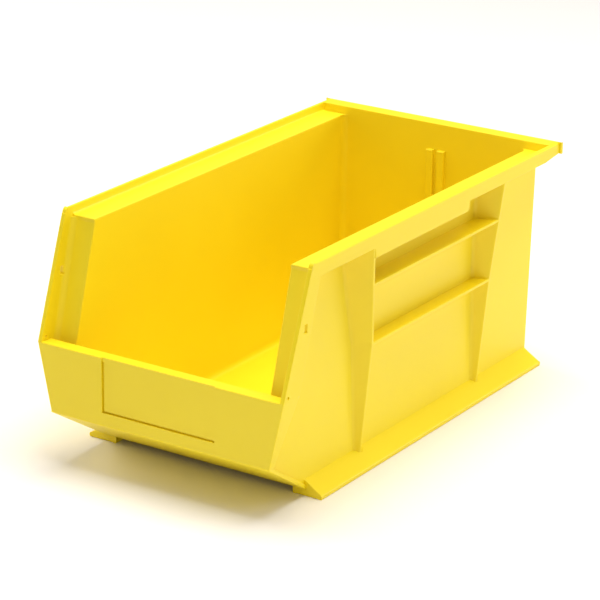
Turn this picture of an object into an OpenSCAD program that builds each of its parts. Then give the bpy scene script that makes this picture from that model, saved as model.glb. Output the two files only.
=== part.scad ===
// Hopper-front storage bin that stacks on its own kind and hangs on a louvred panel.
// The real bin is one moulding. Each module below is one named region of it, and
// neighbouring regions meet face to face.
// Millimetres. +X is the bin's right, +Y its back, +Z up. The origin is at the middle
// of the underside of the outer box.

/* [Overall] */
// Length over the front panel and the hanging rail
bin_l = 374.65; // [320:0.05:430]
// Width over the hanging rail
bin_w = 209.55; // [180:0.05:240]
// Height from the feet to the rim
bin_h = 177.8; // [165:0.05:200]

/* [Walls] */
// Thickness of the floor, the ramp, the panels and the ribs
skin = 3.0; // [2.5:0.1:3.6]
// Thickness of the two side walls
side_t = 3.5; // [2.5:0.1:4]
// Outer faces of the side walls, measured from the middle plane
side_x = 84.5; // [78:0.1:86]
// Height of the underside of the floor above the feet
floor_z = 4.9; // [3:0.1:8]

/* [Hopper front] */
// Height of the top of the hopper lip
lip_z = 88.8; // [80:0.1:100]
// Depth of the hopper lip, front to back
lip_deep = 10.5; // [8:0.1:12]
// Height of the bottom edge of the front panel
panel_z = 38.6; // [32:0.1:45]
// Half width of the front panel at the lip
panel_top_x = 102.1; // [99:0.1:103]
// Half width of the front panel at its bottom edge
panel_bottom_x = 91.1; // [88:0.1:95]
// Distance from the front panel to the front foot
foot_y = 53.7; // [45:0.1:65]
// How far the rim starts behind the front panel
rim_start_y = 31.5; // [25:0.1:36]
// Width of the label recess
label_w = 94; // [60:1:100]
// Height of the bottom of the label recess
label_z = 48.2; // [44:0.1:60]
// Depth of the label recess
label_deep = 1.0; // [0.5:0.1:1.5]

/* [Rim and ledge] */
// Outer faces of the two rims, measured from the middle plane
rim_x = 103.0; // [102.5:0.1:104]
// Thickness of the rim
rim_t = 3.3; // [2.8:0.1:3.6]
// Height of the rim band
rim_h = 11.3; // [10:0.1:14]
// Depth of the stacking ledge below the top of the rim
ledge_drop = 6.5; // [5:0.1:8]

/* [Hanging rail] */
// Distance from the outer face of the back wall to the back of the rail
rail_deep = 10.65; // [9:0.05:14]
// Height of the rail
rail_h = 8.9; // [8:0.1:12]

/* [Side ribs and grip] */
// Distance from the front panel to the front rib, below its bend
rib1_y = 119.5; // [100:0.5:130]
// Distance from the front panel to the rear rib, below its bend
rib2_y = 283; // [270:0.5:300]
// How far the front rib leans forward at its top
rib1_lean = 11.5; // [0:0.5:14]
// How far the rear rib leans back at its top
rib2_lean = 5.5; // [0:0.5:10]
// How far forward the front rib's root lies, for each millimetre of the rib's depth
rib1_slant = 0.7; // [0:0.05:1]
// How far forward the rear rib's root lies, for each millimetre of the rib's depth
rib2_slant = 0.55; // [0:0.05:1]
// Height at which the ribs bend
rib_bend_z = 93.5; // [85:0.5:110]
// Height of the top of the lower shelf
shelf1_z = 93.5; // [85:0.5:105]
// Height of the top of the upper shelf
shelf2_z = 139.5; // [130:0.5:142]
// How far the finger grip hangs below the rim band
grip_drop = 7.2; // [4:0.1:9]
// Distance from the front panel to the back end of the finger grip
grip_end_y = 238; // [200:1:260]

/* [Skirt] */
// Outer edges of the skirt, measured from the middle plane
skirt_x = 99.0; // [95:0.1:99.2]
// Height of the upright outer edge of the skirt
skirt_nose = 3.0; // [1:0.1:4]
// Height at which the skirt leaves the side wall
skirt_z = 12.1; // [10.5:0.1:14]
// Inner faces of the two runners, measured from the middle plane
runner_x = 75.3; // [70:0.1:76]

/* [Hidden] */

plastic = [0.98, 0.82, 0.10];
wide = bin_w * 2;                          // longer than any part of the bin
floor_top = floor_z + skin;
side_in = side_x - side_t;
back_y = bin_l - rail_deep;                // outer face of the back wall
back_in = back_y - skin - 0.3;             // inner face of the back wall
rail_t = 3.2;
rail_in = bin_l - rail_t;                  // front face of the hanging flange
rim_z = bin_h - rim_h;
ledge_z = bin_h - ledge_drop;
ledge_low = ledge_z - skin;
guide_gap = 3.5;
guide_mid = 3.2;                           // the divider groove is right of the middle
guide_w = 6.2;
guide_step = (guide_gap + guide_w) / 2;
guide_t = 3;
guide_top = 157;
slot_y = 23.2;                             // window slot: start, length, height, bottom
slot_l = 3.6;
slot_h = 6.5;
slot_z = 131.2;
peg_d = 2.4;                               // window peg hole
peg_y = 5.6;
peg_z = 91.5;
rim_corner = 4;

// The ramp's underside runs from the front panel down to the front feet.
ramp_fall = (panel_z - floor_z) / foot_y;
ramp_rise = skin * sqrt(1 + ramp_fall * ramp_fall);
function ramp_top(y) = panel_z + ramp_rise - ramp_fall * y;
ramp_end = (panel_z + ramp_rise - floor_top) / ramp_fall;

// Front edge of the side opening above the lip, and the front face of the web behind it.
function edge_y(z) = rim_start_y * (z - lip_z) / (bin_h - lip_z);
web_lean = 0.277;
function web_y(z) = skin + web_lean * (z - panel_z);
function web_foot(d) = (skin + d + web_lean * ramp_rise) / (1 + web_lean * ramp_fall);

// Outer edge of the ribs and shelves: a plane from the rim down to the skirt.
rib_slope = (rim_x - 88) / (rim_z - 9);
function rib_x(z) = rim_x - rib_slope * (rim_z - z);

// How far a rib has leaned at height z, for a rib that leans by lean at the rim.
function lean_at(lean, z) = lean * max(0, z - rib_bend_z) / (rim_z - rib_bend_z);

// A rib face is [distance from the front panel, lean, slant]. This is its place at x and z.
function face_y(face, x, z) = face[0] + lean_at(face[1], z) - face[2] * (rib_x(z) - x);
rib1_front = [rib1_y, -rib1_lean, rib1_slant];
rib1_back = [rib1_y + skin, -rib1_lean, rib1_slant];
rib2_front = [rib2_y, rib2_lean, rib2_slant];
rib2_back = [rib2_y + skin, rib2_lean, rib2_slant];
skirt_fall = (skirt_z - skirt_nose) / (skirt_x - side_x);
function skirt_top(x) = skirt_z - skirt_fall * (x - side_x);
skirt_down = skin * sqrt(1 + skirt_fall * skirt_fall);
nose_in = skirt_x - skin;                  // the skirt's underside, from the floor to the side wall
skirt_under = [
    [nose_in, 0], [nose_in, skirt_top(nose_in) - skirt_down], [side_x, skirt_z - skirt_down]
];

// A plate whose outline is given as [y, z] and that runs from x0 to x1. Distances are
// measured from the front panel.
module side_plate(x0, x1, outline) {
    translate([x0, -bin_l / 2, 0]) rotate([90, 0, 90])
        linear_extrude(x1 - x0) polygon(outline);
}

// A plate whose outline is given as [x, z] and that runs from y0 to y1.
module front_plate(y0, y1, outline) {
    translate([0, y1 - bin_l / 2, 0]) rotate([90, 0, 0])
        linear_extrude(y1 - y0) polygon(outline);
}

// A box from one corner to the other.
module block(a, b) {
    translate([a[0], a[1] - bin_l / 2, a[2]]) cube(b - a);
}

// A solid beside the side wall, between two rib faces and two heights.
module between(front, back, low, high) {
    polyhedron(
        [
            for (z = [low, high], face = [front, back], x = [side_x, rim_x + 1])
                [x, face_y(face, x, z) - bin_l / 2, z]
        ],
        [[0, 1, 3, 2], [4, 6, 7, 5], [0, 4, 5, 1], [2, 3, 7, 6], [0, 2, 6, 4], [1, 5, 7, 3]]
    );
}

module on_left() { mirror([1, 0, 0]) children(); }

// Outline of the front of the bin, widening from the ramp to the lip and the rim.
function flank(inset) = [
    [panel_bottom_x - inset, panel_z], [panel_top_x - inset, lip_z], [rim_x - inset, rim_z]
];

// The webs and ribs end under the rim, and inside it they go on up to the ledge.
under_ledge = [[rim_x - rim_t, rim_z], [rim_x - rim_t, ledge_low], [side_x, ledge_low]];

module label_recess() {
    block([-label_w / 2, -1, label_z], [label_w / 2, label_deep, bin_h]);
}

module floor_pan() {
    color(plastic) side_plate(-side_in, side_in, [
        [foot_y, floor_z], [back_in, floor_z], [back_in, floor_top], [ramp_end, floor_top]
    ]);
}

module hopper_ramp() {
    color(plastic) intersection() {
        side_plate(-wide / 2, wide / 2, [
            [0, panel_z], [foot_y, floor_z], [ramp_end, floor_top], [skin, ramp_top(skin)]
        ]);
        translate([0, -bin_l / 2, 0]) linear_extrude(bin_h) polygon([
            [-panel_bottom_x, 0], [panel_bottom_x, 0],
            [side_x + 1.6, foot_y], [side_x + 1.6, ramp_end],
            [-side_x - 1.6, ramp_end], [-side_x - 1.6, foot_y]
        ]);
    }
}

module lip_bar(grow = 0) {
    block([-panel_top_x + rim_t, -grow, lip_z - skin - 0.2],
        [panel_top_x - rim_t, lip_deep, lip_z + grow]);
}

module front_panel() {
    color(plastic) difference() {
        intersection() {
            side_plate(-wide / 2, wide / 2, [
                [0, panel_z], [skin, ramp_top(skin)], [skin, lip_z], [0, lip_z]
            ]);
            front_plate(-1, skin + 1, [
                [-panel_bottom_x, panel_z], [panel_bottom_x, panel_z],
                [panel_top_x, lip_z], [-panel_top_x, lip_z]
            ]);
        }
        lip_bar(1);
        label_recess();
    }
}

module hopper_lip() {
    color(plastic) difference() {
        lip_bar();
        label_recess();
    }
}

module back_wall() {
    rim_in = rim_x - rim_t;
    top = bin_h - skin - 0.2;
    color(plastic) front_plate(back_in, back_y, [
        [-side_x, floor_z], [side_x, floor_z], [side_x, ledge_low], [rim_in, ledge_low],
        [rim_in, top], [-rim_in, top], [-rim_in, ledge_low], [-side_x, ledge_low]
    ]);
}

// A flat flange behind the back wall that turns down, and hooks over a louvre.
module hanging_rail() {
    rim_in = rim_x - rim_t;
    color(plastic) {
        block([-rim_in, back_in, bin_h - skin - 0.2], [rim_in, rail_in, bin_h]);
        block([-bin_w / 2, rail_in, bin_h - rail_h], [bin_w / 2, bin_l, bin_h]);
    }
}

module side_wall() {
    foot = web_foot(0);
    color(plastic) side_plate(side_in, side_x, [
        [foot, ramp_top(foot)], [ramp_end, floor_top], [foot_y, floor_z],
        [back_in, floor_z], [back_in, ledge_low], [web_y(ledge_low), ledge_low]
    ]);
}

module rim() {
    color(plastic) difference() {
        side_plate(rim_x - rim_t, rim_x, [
            [edge_y(rim_z), rim_z], [edge_y(bin_h), bin_h], [rail_in, bin_h],
            [rail_in, bin_h - rail_h], [rail_in - 20, rim_z]
        ]);
        // The front top corner is rounded.
        y = edge_y(bin_h);
        difference() {
            block([0, y - rim_corner, bin_h - rim_corner], [wide, y + rim_corner, bin_h + 1]);
            translate([0, y + rim_corner - bin_l / 2, bin_h - rim_corner])
                rotate([0, 90, 0]) cylinder(h = wide, r = rim_corner, $fn = 48);
        }
    }
}

module stacking_ledge() {
    color(plastic) side_plate(side_in, rim_x - rim_t, [
        [web_y(ledge_low), ledge_low], [back_in, ledge_low],
        [back_in, ledge_z], [web_y(ledge_low), ledge_z]
    ]);
}

// Outer strip in front of the web, with the slot and the peg hole that hold a window.
module front_return() {
    foot = web_foot(0);
    color(plastic) difference() {
        intersection() {
            side_plate(side_x, rim_x + 1, [
                [skin, ramp_top(skin)], [skin, lip_z], [0, lip_z], [edge_y(rim_z), rim_z],
                [web_y(rim_z), rim_z], [foot, ramp_top(foot)]
            ]);
            front_plate(-1, bin_l, concat(flank(0), [
                for (i = [2:-1:0]) flank(rim_t)[i]
            ]));
        }
        block([side_x, slot_y, slot_z], [wide, slot_y + slot_l, slot_z + slot_h]);
        translate([side_x, peg_y - bin_l / 2, peg_z])
            rotate([0, 90, 0]) cylinder(h = wide, d = peg_d, $fn = 32);
    }
}

// Web that faces forward and joins the return to the side wall.
module front_web() {
    near = web_foot(0);
    far = web_foot(skin);
    color(plastic) intersection() {
        side_plate(side_x, rim_x + 1, [
            [near, ramp_top(near)], [far, ramp_top(far)],
            [web_y(ledge_low) + skin, ledge_low], [web_y(ledge_low), ledge_low]
        ]);
        front_plate(-1, bin_l, concat(
            [[side_x, floor_z], [panel_bottom_x, floor_z]], flank(0), under_ledge
        ));
    }
}

// A tapered rib on the side wall. It bends at rib_bend_z, and slants forward to its root.
module rib(front, back) {
    color(plastic) intersection() {
        union() {
            between(front, back, floor_z, rib_bend_z);
            between(front, back, rib_bend_z, ledge_low);
        }
        front_plate(-1, bin_l, concat(
            [[side_x, skirt_z], [88, skirt_top(88)], [rib_x(rim_z), rim_z]], under_ledge
        ));
    }
}

// A shelf between the two ribs, with its top at height z.
module shelf(z) {
    low = z - 2.4;
    color(plastic) intersection() {
        between(rib1_back, rib2_front, low, z);
        front_plate(-1, bin_l, [
            [side_x, low], [rib_x(low), low], [rib_x(z), z], [side_x, z]
        ]);
    }
}

module finger_grip() {
    low = rim_z - grip_drop;
    color(plastic) intersection() {
        between(rib1_back, [bin_l, 0, 0], low, rim_z);
        side_plate(rim_x - rim_t, rim_x, [
            [0, rim_z], [0, low], [grip_end_y - 4, low],
            [grip_end_y - 1, low + 1.5], [grip_end_y, low + 4], [grip_end_y, rim_z]
        ]);
    }
}

module base_skirt() {
    color(plastic) front_plate(foot_y, back_y, concat(
        [[side_x, skirt_z], [skirt_x, skirt_nose], [skirt_x, 0]], skirt_under
    ));
}

// Inner wall of the runner, closed at both ends by a foot.
module runner() {
    color(plastic) {
        block([runner_x, foot_y, 0], [runner_x + skin, back_y, floor_z]);
        for (y = [foot_y, back_y - skin])
            front_plate(y, y + skin, concat(
                [[runner_x + skin, 0]], skirt_under, [[side_x, floor_z], [runner_x + skin, floor_z]]
            ));
    }
}

// The side wall runs on behind the back wall as a tapered gusset under the rail.
module rear_gusset() {
    color(plastic) side_plate(side_in, side_x, [
        [back_y, floor_z], [back_y + 1.2, floor_z], [rail_in, bin_h - rail_h],
        [rail_in, bin_h - skin - 0.2], [back_y, bin_h - skin - 0.2]
    ]);
}

// Upright rib on the back wall. Two of them hold a lengthwise divider between them.
// The first argument is the middle of the rib, in x.
module divider_guide(mid) {
    color(plastic) block([mid - guide_w / 2, back_in - guide_t, floor_top],
        [mid + guide_w / 2, back_in, guide_top]);
}

floor_pan();
hopper_ramp();
front_panel();
hopper_lip();
back_wall();
hanging_rail();
on_left() side_wall();  // left_side_wall
side_wall();  // right_side_wall
on_left() rim();  // left_rim
rim();  // right_rim
on_left() stacking_ledge();  // left_stacking_ledge
stacking_ledge();  // right_stacking_ledge
on_left() front_return();  // left_front_return
front_return();  // right_front_return
on_left() front_web();  // left_front_web
front_web();  // right_front_web
on_left() rib(rib1_front, rib1_back);  // left_front_rib
rib(rib1_front, rib1_back);  // right_front_rib
on_left() rib(rib2_front, rib2_back);  // left_rear_rib
rib(rib2_front, rib2_back);  // right_rear_rib
on_left() shelf(shelf2_z);  // left_upper_shelf
shelf(shelf2_z);  // right_upper_shelf
on_left() shelf(shelf1_z);  // left_lower_shelf
shelf(shelf1_z);  // right_lower_shelf
on_left() finger_grip();  // left_finger_grip
finger_grip();  // right_finger_grip
on_left() base_skirt();  // left_base_skirt
base_skirt();  // right_base_skirt
on_left() runner();  // left_runner
runner();  // right_runner
on_left() rear_gusset();  // left_rear_gusset
rear_gusset();  // right_rear_gusset
divider_guide(guide_mid - guide_step);  // left_divider_guide
divider_guide(guide_mid + guide_step);  // right_divider_guide
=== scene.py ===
import math

import bmesh
import bpy
import numpy as np
from mathutils import Matrix, Vector


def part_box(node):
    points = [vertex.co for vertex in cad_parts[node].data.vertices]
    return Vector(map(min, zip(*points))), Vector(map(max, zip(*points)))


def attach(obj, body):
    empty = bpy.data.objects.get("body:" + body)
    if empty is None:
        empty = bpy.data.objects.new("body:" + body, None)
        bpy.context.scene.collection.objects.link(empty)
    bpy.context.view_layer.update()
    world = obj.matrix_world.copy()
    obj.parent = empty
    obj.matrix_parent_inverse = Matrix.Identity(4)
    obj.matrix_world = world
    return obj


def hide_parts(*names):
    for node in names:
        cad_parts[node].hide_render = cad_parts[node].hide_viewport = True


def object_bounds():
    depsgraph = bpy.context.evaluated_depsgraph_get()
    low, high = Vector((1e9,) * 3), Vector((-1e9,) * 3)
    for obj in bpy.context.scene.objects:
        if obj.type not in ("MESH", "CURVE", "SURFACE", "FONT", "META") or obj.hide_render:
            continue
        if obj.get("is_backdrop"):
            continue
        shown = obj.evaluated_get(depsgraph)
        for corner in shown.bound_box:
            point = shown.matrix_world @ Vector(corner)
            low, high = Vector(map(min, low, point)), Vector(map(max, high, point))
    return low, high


# The bin is one moulding. It is modelled whole, so that walls, ribs and ledges run into each
# other with fillets, and is then cut into the regions that the CAD names.
# Outlines are in millimetres: x from the middle plane, y from the front panel, z from the feet.

MM = 0.001

# Camera: directions in degrees, distance in metres, lens and sensor in millimetres.
AZIMUTH = 32.6867
ELEVATION = 19.832
ROLL = 0.8969
DISTANCE = 2.0323
LENS = 167.83
SENSOR = 36.0
SHIFT = (-0.0143, -0.0082)

# Width of the studio floor, in metres.
FLOOR_SIZE = 4

# Radii in millimetres: fillets in inner corners, then rounded outer edges and corners.
FILLET_WALL = 5.0
FILLET_FLOOR = 4.0
FILLET_RIB = 4.6
FILLET_RIB_BACK = 2.5
FILLET_LEDGE = 1.8
EDGE_ROUND = 0.8
RIM_ROUND = 2.4
FOOT_ROUND = 1.2
RAMP_ROUND = 3.0
NOSE_ROUND = 1.5
GRIP_ROUND = 4.0
RIM_CORNER = 4.0

# How far a rounding may reach from its edge, and how many straight pieces stand for an arc.
EDGE_REACH = 1.2
ARC_STEPS = 6
EDGE_STEPS = 3
PEG_STEPS = 24

# LAP and BURY are how far solids overlap where they join, SINK is how far a fillet's corner is
# sunk into them, GROW is how much larger a region's cutter is than its node, and CLEAR is how
# far a cutter runs past the bin's outside.
LAP = 1.0
BURY = 1.5
SINK = 0.8
GROW = 0.35
CLEAR = 5.0

# Convex edges longer than SHORT_EDGE are rounded where the faces turn by SHARP_ANGLE to
# FOLD_ANGLE degrees. Faces that turn by less than FLAT_ANGLE are one, and edges that turn by
# less than SMOOTH_ANGLE are shaded smoothly.
SHARP_ANGLE = 28
FOLD_ANGLE = 150
SHORT_EDGE = 6.0
FLAT_ANGLE = 0.3
SMOOTH_ANGLE = 20

# Points closer than this many millimetres are one: in the moulding, in the CAD and in a region
# that has been cut. SAME_EDGE is how near the rim's edge a point is taken to be on it, and
# normals with a larger product than SAME_NORMAL are one. Loose bits of a region with less than
# CRUMB of the largest bit's surface are dropped.
SAME_POINT = 0.01
SAME_POINT_CAD = 0.002
SAME_POINT_CUT = 0.003
SAME_EDGE = 0.1
SAME_NORMAL = 0.9999
CRUMB = 0.05


def span(node, axis):
    """Lowest and highest value of a node on an axis, in millimetres; y is from the front panel."""
    low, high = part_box(node)
    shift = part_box("front_panel")[0].y if axis == "y" else 0.0
    return tuple(round((getattr(v, axis) - shift) / MM, 2) for v in (low, high))


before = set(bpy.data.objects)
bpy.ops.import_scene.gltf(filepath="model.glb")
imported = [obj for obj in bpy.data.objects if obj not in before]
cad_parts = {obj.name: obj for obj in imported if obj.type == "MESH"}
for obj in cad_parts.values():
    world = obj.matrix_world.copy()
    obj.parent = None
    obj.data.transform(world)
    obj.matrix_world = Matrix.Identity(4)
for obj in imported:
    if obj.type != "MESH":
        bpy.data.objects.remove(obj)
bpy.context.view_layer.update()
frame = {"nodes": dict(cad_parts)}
bpy.context.scene.view_settings.view_transform = "Standard"

# Sizes taken from the frame, in millimetres.
FRONT_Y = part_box("front_panel")[0].y / MM
FLOOR_LOW, FLOOR_TOP = span("floor_pan", "z")
FOOT_Y = span("right_base_skirt", "y")[0]
SIDE_IN, SIDE_OUT = span("right_side_wall", "x")
RAMP_X = span("hopper_ramp", "x")[1]
RAMP_END = span("hopper_ramp", "y")[1]
PANEL_LOW = span("front_panel", "z")[0]
PANEL_X = span("front_panel", "x")[1]
PANEL_T = span("front_panel", "y")[1]
LIP_LOW, LIP_TOP = span("hopper_lip", "z")
LIP_DEEP = span("hopper_lip", "y")[1]
RIM_IN, RIM_OUT = span("right_rim", "x")
RIM_LOW, RIM_TOP = span("right_rim", "z")
LEDGE_LOW, LEDGE_TOP = span("right_stacking_ledge", "z")
BACK_IN, BACK_OUT = span("back_wall", "y")
RAIL_X = span("hanging_rail", "x")[1]
RAIL_LOW = span("hanging_rail", "z")[0]
RAIL_BACK = span("hanging_rail", "y")[1]
FLANGE_LOW = span("back_wall", "z")[1]
RAIL_IN = span("right_rear_gusset", "y")[1]
SKIRT_X = span("right_base_skirt", "x")[1]
SKIRT_TOP = span("right_base_skirt", "z")[1]
RUNNER_X = span("right_runner", "x")[0]
WALL = PANEL_T
RIM_T = RIM_OUT - RIM_IN
WEB_TOP = span("right_stacking_ledge", "y")[0]
WEB_LEAN = (WEB_TOP - WALL) / (LEDGE_LOW - PANEL_LOW)
FALL = (PANEL_LOW - FLOOR_LOW) / FOOT_Y
RISE = WALL * math.sqrt(1 + FALL * FALL)

# Rim: where its slanted front edge reaches the top, and where its lower edge slopes to the rail.
RIM_START = 31.5
RIM_TAIL = 20.0
TAIL_RISE = 0.19

# Side ribs: the height where they bend, their outer edge's slope, their lowest point, and how
# far their heads stand back inside the rim. A rib's face is given by its place at the outer edge,
# its lean above the bend, and its slant towards the wall.
RIB_BEND = 93.5
RIB_SLOPE = 15 / 157.5
RIB_LOW = 8.1
RIB_HEAD_IN = 1.6
FRONT_RIB = (119.5, -11.5, 0.7)
REAR_RIB = (283.0, 5.5, 0.55)

# The ribs' regions with their fillets: lowest point, and front and back ends.
RIB_FOOT = 8.4
FRONT_RIB_SPAN = (85, 140)
REAR_RIB_SPAN = (260, 310)

# Thickness of the shelves, and how far the grip starts behind the front rib's face.
SHELF_T = 2.4
GRIP_IN = 1.2

# Skirt with its upright outer edge, the ramp's foot, and the gusset's foot.
SKIRT_NOSE = 3.0
SKIRT_FALL = (SKIRT_TOP - SKIRT_NOSE) / (SKIRT_X - SIDE_OUT)
SKIRT_DOWN = WALL * math.sqrt(1 + SKIRT_FALL * SKIRT_FALL)
RAMP_OUT = 1.6
RAMP_CUT_TOP = 60
GUSSET_FOOT = 1.2

# Outer strips beside the mouth: a range of x that holds them, their region's back and lowest
# point, and how far below the lip's top their fillet starts.
STRIP_X = (60, 130)
STRIP_END = 60
STRIP_LOW = 20
STRIP_FILLET = 15

# Label recess with its groove, window slot and peg hole.
LABEL_W = 94.0
LABEL_LOW = 48.2
LABEL_DEEP = 1.0
GROOVE_W = 1.3
GROOVE_DEEP = 2.2
SLOT_Y = 23.2
SLOT_L = 3.6
SLOT_LOW = 131.2
SLOT_H = 6.5
PEG_Y = 5.6
PEG_Z = 91.5
PEG_R = 1.2


def rounded(outline, corner, radius, steps=ARC_STEPS):
    """The outline with one corner replaced by an arc."""
    here = Vector(outline[corner])
    before = Vector(outline[corner - 1]) - here
    after = Vector(outline[(corner + 1) % len(outline)]) - here
    arc = arc_between(here, before.normalized(), after.normalized(), radius, steps)
    return outline[:corner] + arc + outline[corner + 1:]


def arc_between(corner, one, two, radius, steps=ARC_STEPS):
    """Points of the arc that touches both directions from a corner."""
    half = one.angle(two) / 2
    reach = radius / math.tan(half)
    centre = corner + (one + two).normalized() * (radius / math.sin(half))
    start = corner + one * reach - centre
    end = corner + two * reach - centre
    turn = start.angle(end)
    points = []
    for i in range(steps + 1):
        t = turn * i / steps
        p = (start * math.sin(turn - t) + end * math.sin(t)) / math.sin(turn)
        points.append(tuple(centre + p))
    return points


def loft(rings, side=1):
    """A closed solid through rings of (x, y, z) in millimetres; side -1 mirrors it."""
    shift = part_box("front_panel")[0].y
    mesh = bpy.data.meshes.new("loft")
    bm = bmesh.new()
    made = []
    for ring in rings:
        made.append([bm.verts.new((side * x * MM, y * MM + shift, z * MM)) for x, y, z in ring])
    bm.faces.new(made[0])
    bm.faces.new(made[-1])
    for low, high in zip(made, made[1:]):
        for i in range(len(low)):
            j = (i + 1) % len(low)
            bm.faces.new((low[i], low[j], high[j], high[i]))
    bmesh.ops.recalc_face_normals(bm, faces=bm.faces)
    bmesh.ops.triangulate(bm, faces=bm.faces)
    bm.to_mesh(mesh)
    bm.free()
    obj = bpy.data.objects.new("loft", mesh)
    bpy.context.scene.collection.objects.link(obj)
    return obj


def along_x(x0, x1, outline, side=1):
    return loft([[(x, y, z) for y, z in outline] for x in (x0, x1)], side)


def along_y(y0, y1, outline, side=1):
    return loft([[(x, y, z) for x, z in outline] for y in (y0, y1)], side)


def along_z(z0, z1, outline, side=1):
    return loft([[(x, y, z) for x, y in outline] for z in (z0, z1)], side)


def block(x0, x1, y0, y1, z0, z1, side=1):
    return along_z(z0, z1, [(x0, y0), (x1, y0), (x1, y1), (x0, y1)], side)


def combine(body, other, how):
    """Adds, cuts or keeps the overlap with another solid, which is used up."""
    step = body.modifiers.new("combine", "BOOLEAN")
    step.operation = how
    step.solver = "MANIFOLD"
    step.object = other
    shown = body.evaluated_get(bpy.context.evaluated_depsgraph_get())
    made = bpy.data.meshes.new_from_object(shown)
    body.modifiers.clear()
    body.data = made
    bpy.data.objects.remove(other)
    return body


def fillet(corner, one, two, radius, steps=ARC_STEPS):
    """Ring of a fillet in a corner: the arc, and the corner moved a little into the solid."""
    corner = Vector(corner)
    one = Vector(one).normalized()
    two = Vector(two).normalized()
    deep = corner - (one + two).normalized() * SINK
    return [tuple(deep)] + arc_between(corner, one, two, radius, steps)


def web_y(z):
    """Front of the slanted web at height z."""
    return WALL + WEB_LEAN * (z - PANEL_LOW)


def ramp_top(y):
    """Height of the sloping floor."""
    return PANEL_LOW + RISE - FALL * y


def rib_x(z):
    """Outer edge of the side ribs at height z."""
    return RIM_OUT - RIB_SLOPE * (RIM_LOW - z)


def flank(z):
    """Half width of the bin's front at height z."""
    if z < LIP_TOP:
        return RAMP_X + (PANEL_X - RAMP_X) * (z - PANEL_LOW) / (LIP_TOP - PANEL_LOW)
    return PANEL_X + (RIM_OUT - PANEL_X) * min(1, (z - LIP_TOP) / (RIM_LOW - LIP_TOP))


def face_y(face, x, z):
    """Where a rib's face lies at a distance x from the middle and a height z."""
    start, lean, slant = face
    return start + lean * max(0, z - RIB_BEND) / (RIM_LOW - RIB_BEND) - slant * (rib_x(z) - x)


def back_of(face):
    return (face[0] + WALL, face[1], face[2])


def mirrored(half):
    """A symmetric outline from its left or right half."""
    return half + [(-x, other) for x, other in reversed(half)]


def bottom():
    """Floor pan and sloping floor."""
    outline = [
        (0, PANEL_LOW), (FOOT_Y, FLOOR_LOW), (BACK_OUT, FLOOR_LOW), (BACK_OUT, FLOOR_TOP),
        (RAMP_END, FLOOR_TOP), (0, ramp_top(0))
    ]
    slab = along_x(-RAMP_X - CLEAR, RAMP_X + CLEAR, rounded(outline, 0, RAMP_ROUND))
    end_x = SIDE_OUT + RAMP_OUT
    half = [
        (RAMP_X, 0), (end_x, FOOT_Y), (end_x, RAMP_END), (SIDE_OUT, RAMP_END), (SIDE_OUT, BACK_OUT)
    ]
    return combine(slab, along_z(0, RAMP_CUT_TOP, mirrored(half)), "INTERSECT")


def panel():
    half = [(-flank(z), z) for z in (PANEL_LOW, LIP_TOP)]
    return along_y(0, PANEL_T, mirrored(half))


def lip():
    return block(LAP - RIM_IN, RIM_IN - LAP, 0, LIP_DEEP, LIP_LOW, LIP_TOP)


def cheek(side):
    """The outer strip beside the mouth, with the rim band above it."""
    low = PANEL_LOW
    outline = [
        (0, low), (0, LIP_TOP), (RIM_START, RIM_TOP), (RAIL_IN + BURY, RIM_TOP),
        (RAIL_IN + BURY, RAIL_LOW + TAIL_RISE), (RAIL_IN - RIM_TAIL, RIM_LOW),
        (web_y(RIM_LOW) + WALL, RIM_LOW), (web_y(low) + WALL, low)
    ]
    strip = along_x(*STRIP_X, rounded(outline, 2, RIM_CORNER), side)
    levels = [low, LIP_TOP, RIM_LOW, RIM_TOP]
    band = [(flank(z), z) for z in levels] + [(flank(z) - RIM_T, z) for z in reversed(levels)]
    return combine(strip, along_y(-LAP, RAIL_BACK - LAP, band, side), "INTERSECT")


def web(side):
    """The slanted wall that joins the outer strip to the side wall."""
    rings = []
    for z in (PANEL_LOW - LAP, LIP_TOP, RIM_LOW, LEDGE_LOW + BURY):
        out = min(flank(z), RIM_OUT) - LAP
        y = web_y(z)
        near = SIDE_OUT - 2 * LAP
        rings.append([(near, y, z), (out, y, z), (out, y + WALL, z), (near, y + WALL, z)])
    return loft(rings, side)


def side_wall(side):
    low = FLOOR_LOW + BURY
    high = LEDGE_LOW + BURY
    start = PANEL_LOW - LAP
    end = BACK_IN + LAP
    return along_x(SIDE_IN, SIDE_OUT, [
        (web_y(start), start), (RAMP_END, low), (end, low), (end, high), (web_y(high), high)
    ], side)


def ledge(side):
    return block(SIDE_IN, RIM_IN + LAP, WEB_TOP, BACK_IN + LAP, LEDGE_LOW, LEDGE_TOP, side)


def back_wall():
    half = [
        (SIDE_OUT, FLOOR_LOW), (SIDE_OUT, LEDGE_LOW), (RIM_IN + LAP, LEDGE_LOW),
        (RIM_IN + LAP, FLANGE_LOW + LAP)
    ]
    return along_y(BACK_IN, BACK_OUT, mirrored(half))


def rail():
    """The hanging rail, and the flange that joins it to the back wall."""
    flange = block(-RIM_IN - LAP, RIM_IN + LAP, BACK_IN, RAIL_IN + LAP, FLANGE_LOW, RIM_TOP)
    plate = block(-RAIL_X, RAIL_X, RAIL_IN, RAIL_BACK, RAIL_LOW, RIM_TOP)
    return combine(flange, plate, "UNION")


def gusset(side):
    """The side wall carried on behind the back wall."""
    return along_x(SIDE_IN, SIDE_OUT, [
        (BACK_OUT - LAP, FLOOR_LOW), (BACK_OUT + GUSSET_FOOT, FLOOR_LOW), (RAIL_IN, RAIL_LOW),
        (RAIL_IN + LAP, RAIL_LOW + LAP), (RAIL_IN + LAP, FLANGE_LOW + LAP),
        (BACK_OUT - LAP, FLANGE_LOW + LAP)
    ], side)


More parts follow.
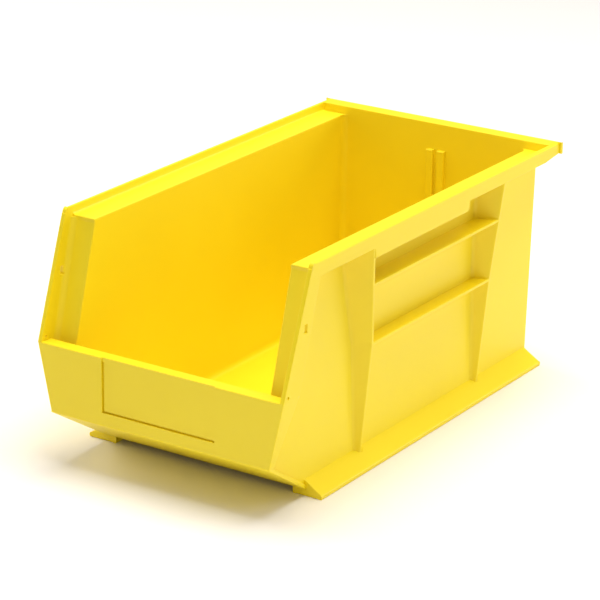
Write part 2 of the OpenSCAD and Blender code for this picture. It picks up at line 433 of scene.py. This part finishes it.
def rib(face, side):
    inner = SIDE_OUT - BURY
    heights = [(z, 0) for z in (RIB_LOW, RIB_BEND, RIM_LOW)]
    heights += [(z, RIB_HEAD_IN) for z in (RIM_LOW + LAP, LEDGE_LOW + BURY)]
    rings = []
    for z, back in heights:
        far = min(rib_x(z), RIM_OUT) - back
        rings.append([
            (inner, face_y(face, inner, z), z), (far, face_y(face, far, z), z),
            (far, face_y(back_of(face), far, z), z), (inner, face_y(back_of(face), inner, z), z)
        ])
    return loft(rings, side)


def rib_fillet(face, front, radius, side):
    """Fillet between the side wall and one face of a rib."""
    slant = face[2]
    along_wall = Vector((0, -1, 0)) if front else Vector((0, 1, 0))
    along_face = Vector((1, slant, 0))
    rings = []
    for z in (RIB_LOW, RIB_BEND, LEDGE_LOW + LAP):
        corner = (SIDE_OUT, face_y(face, SIDE_OUT, z), z)
        rings.append(fillet(corner, along_wall, along_face, radius))
    return loft(rings, side)


def shelf(name, side):
    """A shelf between the two side ribs."""
    z = span(name, "z")[1]
    rings = []
    for level in (z - SHELF_T, z):
        out = rib_x(level)
        inner = SIDE_OUT - BURY
        near = back_of(FRONT_RIB)
        rings.append([
            (inner, face_y(near, inner, level) - LAP, level),
            (out, face_y(near, out, level) - LAP, level),
            (out, face_y(REAR_RIB, out, level) + LAP, level),
            (inner, face_y(REAR_RIB, inner, level) + LAP, level)
        ])
    return loft(rings, side)


def grip(side):
    low = span("right_finger_grip", "z")[0]
    end = span("right_finger_grip", "y")[1]
    start = face_y(FRONT_RIB, RIM_OUT, low) + GRIP_IN
    top = face_y(FRONT_RIB, RIM_OUT, RIM_LOW) + GRIP_IN
    outline = [(top, RIM_LOW + LAP), (start, low), (end, low), (end, RIM_LOW + LAP)]
    return along_x(RIM_IN, RIM_OUT, rounded(outline, 2, GRIP_ROUND), side)


def skirt_top(x):
    return SKIRT_TOP - SKIRT_FALL * (x - SIDE_OUT)


def skirt(side):
    """The sloping skirt at the foot of the side wall, with an upright outer edge."""
    inner = SIDE_OUT - BURY
    under = SKIRT_X - WALL
    outline = [
        (inner, SKIRT_TOP), (SIDE_OUT, SKIRT_TOP), (SKIRT_X, SKIRT_NOSE), (SKIRT_X, 0), (under, 0),
        (under, skirt_top(under) - SKIRT_DOWN), (inner, SKIRT_TOP - SKIRT_DOWN)
    ]
    return along_y(FOOT_Y, BACK_OUT, rounded(outline, 2, NOSE_ROUND), side)


def runner(side):
    """The inner wall of the runner, closed at both ends by a foot under the skirt."""
    top = FLOOR_LOW + LAP
    wall = block(RUNNER_X, RUNNER_X + WALL, FOOT_Y, BACK_OUT, 0, top, side)
    inner = SIDE_OUT - BURY
    foot = [
        (RUNNER_X, 0), (SKIRT_X, 0), (SKIRT_X, SKIRT_NOSE), (SIDE_OUT, SKIRT_TOP),
        (inner, SKIRT_TOP), (inner, top), (RUNNER_X, top)
    ]
    for y in (FOOT_Y, BACK_OUT - WALL):
        combine(wall, along_y(y, y + WALL, rounded(foot, 2, NOSE_ROUND), side), "UNION")
    return wall


def guide(name):
    x0, x1 = span(name, "x")
    y0, y1 = span(name, "y")
    return block(x0, x1, y0, y1 + LAP, FLOOR_TOP - LAP, span(name, "z")[1])


def upright_fillets(side):
    """Fillets in the corners of the side wall and back wall, and of the strip and the web."""
    made = []
    rings = []
    for z in (FLOOR_TOP - LAP, LEDGE_TOP):
        rings.append(fillet((SIDE_IN, BACK_IN, z), (0, -1, 0), (-1, 0, 0), FILLET_WALL))
    made.append(loft(rings, side))
    rings = []
    for z in (LIP_TOP - STRIP_FILLET, LIP_TOP, RIM_LOW, LEDGE_TOP - LAP):
        corner = (flank(z) - RIM_T, web_y(z), z)
        rings.append(fillet(corner, (-1, 0, 0), (0, -1, 0), FILLET_WALL))
    made.append(loft(rings, side))
    return made


def floor_fillets(side):
    """Fillets between the side wall and the floor, flat and sloping."""
    made = []
    rings = []
    for y in (RAMP_END - LAP / 2, BACK_IN + LAP):
        rings.append(fillet((SIDE_IN, y, FLOOR_TOP), (-1, 0, 0), (0, 0, 1), FILLET_FLOOR))
    made.append(loft(rings, side))
    rings = []
    for y in (WALL, RAMP_END + LAP / 2):
        rings.append(fillet((SIDE_IN, y, ramp_top(y)), (-1, 0, 0), (0, 0, 1), FILLET_FLOOR))
    made.append(loft(rings, side))
    return made


def ledge_fillet(side):
    rings = []
    for y in (WEB_TOP, BACK_IN + LAP):
        rings.append(fillet((RIM_IN, y, LEDGE_TOP), (-1, 0, 0), (0, 0, 1), FILLET_LEDGE))
    return loft(rings, side)


def back_fillet():
    rings = []
    for x in (-SIDE_IN - LAP, SIDE_IN + LAP):
        rings.append(fillet((x, BACK_IN, FLOOR_TOP), (0, -1, 0), (0, 0, 1), FILLET_FLOOR))
    return loft(rings)


def side_parts(side):
    """Everything on one side of the bin."""
    parts = [cheek(side), web(side), side_wall(side), ledge(side), gusset(side)]
    parts += [rib(FRONT_RIB, side), rib(REAR_RIB, side)]
    parts += [shelf("right_upper_shelf", side), shelf("right_lower_shelf", side)]
    parts += [grip(side), skirt(side), runner(side)]
    parts += upright_fillets(side) + floor_fillets(side) + [ledge_fillet(side)]
    for face in (FRONT_RIB, REAR_RIB):
        parts.append(rib_fillet(face, True, FILLET_RIB, side))
        parts.append(rib_fillet(back_of(face), False, FILLET_RIB_BACK, side))
    return parts


def moulding():
    """The whole bin as one solid, without its openings."""
    body = bottom()
    parts = [panel(), lip(), back_wall(), rail(), back_fillet()]
    parts += [guide("left_divider_guide"), guide("right_divider_guide")]
    for part in parts:
        combine(body, part, "UNION")
    for side in (1, -1):
        for part in side_parts(side):
            combine(body, part, "UNION")
    return body


def round_foot(body):
    """Rounds the edge where the front panel meets the ramp."""
    ramp = (0, FOOT_Y, FLOOR_LOW - PANEL_LOW)
    rings = [fillet((x, 0, PANEL_LOW), (0, 0, 1), ramp, FOOT_ROUND) for x in (-RAIL_X, RAIL_X)]
    combine(body, loft(rings), "DIFFERENCE")


def openings(body):
    """Label recess with a groove on two sides, window slots and peg holes."""
    half = LABEL_W / 2
    cuts = [
        block(-half, half, -LAP, LABEL_DEEP, LABEL_LOW, LIP_TOP + LAP),
        block(-half, GROOVE_W - half, -LAP, GROOVE_DEEP, LABEL_LOW, LIP_LOW),
        block(-half, half, -LAP, GROOVE_DEEP, LABEL_LOW, LABEL_LOW + GROOVE_W)
    ]
    for side in (1, -1):
        slot_y = (SLOT_Y, SLOT_Y + SLOT_L)
        cuts.append(block(SIDE_OUT, RAIL_X, *slot_y, SLOT_LOW, SLOT_LOW + SLOT_H, side))
        circle = []
        for i in range(PEG_STEPS):
            turn = 2 * math.pi * i / PEG_STEPS
            circle.append((PEG_Y + PEG_R * math.cos(turn), PEG_Z + PEG_R * math.sin(turn)))
        cuts.append(along_x(SIDE_OUT, RAIL_X, circle, side))
    for cut in cuts:
        combine(body, cut, "DIFFERENCE")


def outward(vert, by):
    """The move that takes a corner's faces outwards by the same distance."""
    normals = []
    for face in vert.link_faces:
        if all(face.normal.dot(n) < SAME_NORMAL for n in normals):
            normals.append(face.normal.copy())
    sides = np.array([list(n) for n in normals])
    return Vector(np.linalg.lstsq(sides, np.full(len(normals), by * MM), rcond=None)[0])


def grown(node, by):
    """A copy of a CAD node with every face moved outwards."""
    bm = bmesh.new()
    bm.from_mesh(node.data)
    bmesh.ops.remove_doubles(bm, verts=bm.verts, dist=SAME_POINT_CAD * MM)
    flat = math.radians(FLAT_ANGLE)
    bmesh.ops.dissolve_limit(bm, angle_limit=flat, verts=bm.verts, edges=bm.edges)
    bmesh.ops.recalc_face_normals(bm, faces=bm.faces)
    moves = [outward(vert, by) for vert in bm.verts]
    for v, move in zip(bm.verts, moves):
        v.co += move
    bmesh.ops.triangulate(bm, faces=bm.faces)
    mesh = bpy.data.meshes.new("cutter")
    bm.to_mesh(mesh)
    bm.free()
    obj = bpy.data.objects.new("cutter", mesh)
    bpy.context.scene.collection.objects.link(obj)
    return obj


def sharp_edges(obj):
    """Both ends of each long convex edge, with the directions from it into its two faces."""
    bm = bmesh.new()
    bm.from_mesh(obj.data)
    bmesh.ops.remove_doubles(bm, verts=bm.verts, dist=SAME_POINT * MM)
    bmesh.ops.dissolve_degenerate(bm, dist=SAME_POINT * MM, edges=bm.edges)
    flat = math.radians(FLAT_ANGLE)
    bmesh.ops.dissolve_limit(bm, angle_limit=flat, verts=bm.verts, edges=bm.edges)
    found = []
    for edge in bm.edges:
        if not edge.is_convex or edge.calc_length() < SHORT_EDGE * MM:
            continue
        if not SHARP_ANGLE < math.degrees(edge.calc_face_angle(0)) < FOLD_ANGLE:
            continue
        inward = []
        for loop in edge.link_loops:
            along = loop.link_loop_next.vert.co - loop.vert.co
            inward.append(loop.face.normal.cross(along).normalized())
        ends = [v.co / MM - Vector((0, FRONT_Y, 0)) for v in edge.verts]
        found.append((ends, inward))
    bm.free()
    return found


def on_rim(point):
    """Whether a point is on the rim's outer top edge."""
    return RIM_TOP - point.z < SAME_EDGE and RIM_OUT - abs(point.x) < SAME_EDGE


def soften(body):
    """Rounds the long convex edges, and more so the rim's outer ones."""
    for ends, (one, two) in sharp_edges(body):
        radius = min(EDGE_ROUND, EDGE_REACH * math.tan(one.angle(two) / 2))
        if on_rim(ends[0]) and on_rim(ends[1]):
            radius = RIM_ROUND
        rings = [fillet(end, one, two, radius, EDGE_STEPS) for end in ends]
        combine(body, loft(rings), "DIFFERENCE")


def copy_of(obj, name):
    made = bpy.data.objects.new(name, obj.data.copy())
    bpy.context.scene.collection.objects.link(made)
    return made


def side_cutters(side):
    """Cutters of the side regions that take their fillets with them."""
    name = "right" if side > 0 else "left"
    front = -CLEAR
    far = RAIL_X + 4 * CLEAR
    top = LEDGE_LOW + LAP
    fillet_in = SIDE_IN - FILLET_FLOOR - LAP / 2
    return [
        (f"{name}_front_return", block(SIDE_OUT, far, front, STRIP_END, STRIP_LOW, top, side)),
        (f"{name}_front_rib", block(SIDE_OUT, far, *FRONT_RIB_SPAN, RIB_FOOT, top, side)),
        (f"{name}_rear_rib", block(SIDE_OUT, far, *REAR_RIB_SPAN, RIB_FOOT, top, side)),
        (f"{name}_side_wall", along_z(-LAP, RIM_TOP + LAP, [
            (SIDE_IN, BACK_IN), (SIDE_IN, RAMP_END), (fillet_in, RAMP_END), (fillet_in, front),
            (far, front), (far, BACK_IN)
        ], side)),
    ]


def ledge_cutter(side):
    name = "right_stacking_ledge" if side > 0 else "left_stacking_ledge"
    return name, block(SIDE_IN - GROW, RAIL_X, STRIP_LOW, BACK_IN, LEDGE_LOW, RIM_TOP + LAP, side)


def back_cutter():
    """Cutter of the back wall, which splits the fillet above the floor through its middle."""
    near = BACK_IN - FILLET_WALL - LAP
    far = RAIL_BACK + CLEAR
    top = RIM_TOP + CLEAR
    return along_x(-RAIL_X, RAIL_X, [
        (near, FLOOR_TOP + FILLET_WALL + LAP), (BACK_IN, FLOOR_TOP), (BACK_IN, -LAP),
        (far, -LAP), (far, top), (near, top)
    ])


def both(*names):
    return [f"{side}_{name}" for name in names for side in ("left", "right")]


def regions(whole, nodes):
    """Cuts the moulding into the named regions, one after another; the rest is the floor pan."""
    first = ["hanging_rail"]
    first += both("rear_gusset", "divider_guide", "upper_shelf", "lower_shelf", "finger_grip")
    first += both("base_skirt", "runner", "rim")
    second = ["hopper_lip", "front_panel"] + both("front_web") + ["hopper_ramp"]
    cutters = [(name, grown(nodes[name], GROW)) for name in first]
    cutters += [ledge_cutter(1), ledge_cutter(-1)]
    cutters += [(name, grown(nodes[name], GROW)) for name in second]
    cutters += side_cutters(1) + side_cutters(-1)
    cutters.append(("back_wall", back_cutter()))
    pieces = {}
    for name, cutter in cutters:
        spare = copy_of(cutter, "spare")
        pieces[name] = combine(copy_of(whole, name), cutter, "INTERSECT")
        combine(whole, spare, "DIFFERENCE")
    pieces["floor_pan"] = whole
    return pieces


def islands(bm):
    """Groups of faces that hang together."""
    left = set(bm.faces)
    groups = []
    while left:
        stack = [left.pop()]
        group = []
        while stack:
            face = stack.pop()
            group.append(face)
            for edge in face.edges:
                for other in edge.link_faces:
                    if other in left:
                        left.remove(other)
                        stack.append(other)
        groups.append(group)
    return groups


def clean(obj):
    """Drops crumbs that a cut leaves, and shades the round edges smoothly."""
    bm = bmesh.new()
    bm.from_mesh(obj.data)
    bmesh.ops.remove_doubles(bm, verts=bm.verts, dist=SAME_POINT_CUT * MM)
    bmesh.ops.dissolve_degenerate(bm, dist=SAME_POINT_CUT * MM, edges=bm.edges)
    groups = islands(bm)
    areas = [sum(face.calc_area() for face in group) for group in groups]
    for group, area in zip(groups, areas):
        if area < CRUMB * max(areas):
            bmesh.ops.delete(bm, geom=group, context="FACES")
    bmesh.ops.triangulate(bm, faces=bm.faces)
    for face in bm.faces:
        face.smooth = True
    for edge in bm.edges:
        edge.smooth = edge.calc_face_angle(0) < math.radians(SMOOTH_ANGLE)
    bm.to_mesh(obj.data)
    bm.free()
    obj.data.validate()


def finish_piece(obj, node, mat):
    """Names a region's piece, gives it its material, and puts it in the place of its node."""
    clean(obj)
    obj.name = "shell_" + node
    obj.data.name = obj.name
    obj.data.materials.clear()
    obj.data.materials.append(mat)
    obj.modifiers.new("normals", "WEIGHTED_NORMAL").keep_sharp = True
    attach(obj, "root")
    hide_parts(node)


def noise(nodes, scale, detail):
    made = nodes.new("ShaderNodeTexNoise")
    made.inputs["Scale"].default_value = scale
    made.inputs["Detail"].default_value = detail
    return made


def plastic():
    """Yellow moulded polypropylene: fine grain, faint flow marks, uneven gloss."""
    mat = bpy.data.materials.new("yellow_plastic")
    mat.use_nodes = True
    nodes = mat.node_tree.nodes
    links = mat.node_tree.links
    shader = nodes["Principled BSDF"]
    place = nodes.new("ShaderNodeTexCoord")
    flow = noise(nodes, 9.0, 3.0)
    tint = nodes.new("ShaderNodeValToRGB")
    tint.color_ramp.elements[0].position = 0.3
    tint.color_ramp.elements[0].color = (0.94, 0.755, 0.008, 1)
    tint.color_ramp.elements[1].position = 0.7
    tint.color_ramp.elements[1].color = (0.97, 0.795, 0.012, 1)
    grain = noise(nodes, 900.0, 4.0)
    gloss = nodes.new("ShaderNodeMapRange")
    gloss.inputs["To Min"].default_value = 0.36
    gloss.inputs["To Max"].default_value = 0.50
    bump = nodes.new("ShaderNodeBump")
    bump.inputs["Strength"].default_value = 0.12
    bump.inputs["Distance"].default_value = 0.0002
    links.new(place.outputs["Object"], flow.inputs["Vector"])
    links.new(place.outputs["Object"], grain.inputs["Vector"])
    links.new(flow.outputs["Fac"], tint.inputs["Fac"])
    links.new(tint.outputs["Color"], shader.inputs["Base Color"])
    links.new(grain.outputs["Fac"], gloss.inputs["Value"])
    links.new(gloss.outputs["Result"], shader.inputs["Roughness"])
    links.new(grain.outputs["Fac"], bump.inputs["Height"])
    links.new(bump.outputs["Normal"], shader.inputs["Normal"])
    return mat


def floor():
    """A plain pale floor under the bin."""
    mat = bpy.data.materials.new("floor_paint")
    mat.use_nodes = True
    shader = mat.node_tree.nodes["Principled BSDF"]
    shader.inputs["Base Color"].default_value = (0.9, 0.9, 0.9, 1)
    shader.inputs["Roughness"].default_value = 0.8
    bpy.ops.mesh.primitive_plane_add(size=FLOOR_SIZE)
    obj = bpy.context.object
    obj.name = "floor"
    obj.data.materials.append(mat)
    obj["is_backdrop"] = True


def area_light(name, place, target, size, power, tint):
    data = bpy.data.lights.new(name, "AREA")
    data.size = size
    data.energy = power
    data.color = tint
    obj = bpy.data.objects.new(name, data)
    bpy.context.scene.collection.objects.link(obj)
    obj.location = place
    obj.rotation_euler = (Vector(target) - Vector(place)).to_track_quat("-Z", "Y").to_euler()


def studio():
    """A soft warm surround for the lighting, which the camera sees as white."""
    world = bpy.data.worlds.new("studio")
    bpy.context.scene.world = world
    world.use_nodes = True
    nodes = world.node_tree.nodes
    links = world.node_tree.links
    back = nodes["Background"]
    back.inputs["Color"].default_value = (1, 0.9, 0.8, 1)
    back.inputs["Strength"].default_value = 0.34
    seen = nodes.new("ShaderNodeBackground")
    seen.inputs["Color"].default_value = (1, 1, 1, 1)
    seen.inputs["Strength"].default_value = 1.0
    path = nodes.new("ShaderNodeLightPath")
    mix = nodes.new("ShaderNodeMixShader")
    links.new(path.outputs["Is Camera Ray"], mix.inputs["Fac"])
    links.new(back.outputs["Background"], mix.inputs[1])
    links.new(seen.outputs["Background"], mix.inputs[2])
    links.new(mix.outputs["Shader"], nodes["World Output"].inputs["Surface"])


def lights():
    middle = (0, 0, 0.09)
    area_light("top", (0.1, 0.2, 2.0), middle, 1.4, 44, (1, 0.96, 0.92))
    area_light("left", (-2.2, 0.0, 0.9), middle, 1.4, 27, (1, 0.95, 0.9))
    area_light("right_back", (1.6, 1.7, 0.8), middle, 1.2, 16, (1, 0.95, 0.95))
    area_light("right_front", (1.8, -1.6, 1.2), middle, 1.4, 3, (1, 0.85, 0.6))


def camera():
    """A long lens aimed at the middle of the bin, slightly rolled."""
    az, el, roll = (math.radians(a) for a in (AZIMUTH, ELEVATION, ROLL))
    low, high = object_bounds()
    target = Vector((0, 0, (low.z + high.z) / 2))
    back = Vector((math.sin(az) * math.cos(el), -math.cos(az) * math.cos(el), math.sin(el)))
    right = Vector((math.cos(az), math.sin(az), 0))
    up = back.cross(right)
    turned = right * math.cos(roll) + up * math.sin(roll)
    upright = up * math.cos(roll) - right * math.sin(roll)
    data = bpy.data.cameras.new("camera")
    data.lens = LENS
    data.sensor_width = SENSOR
    data.shift_x, data.shift_y = SHIFT
    obj = bpy.data.objects.new("camera", data)
    bpy.context.scene.collection.objects.link(obj)
    turn = Matrix((turned, upright, back)).transposed().to_4x4()
    obj.matrix_world = Matrix.Translation(target + back * DISTANCE) @ turn
    bpy.context.scene.camera = obj


yellow = plastic()
whole = moulding()
round_foot(whole)
soften(whole)
openings(whole)
for region, piece in regions(whole, frame["nodes"]).items():
    finish_piece(piece, region, yellow)
floor()
studio()
lights()
camera()
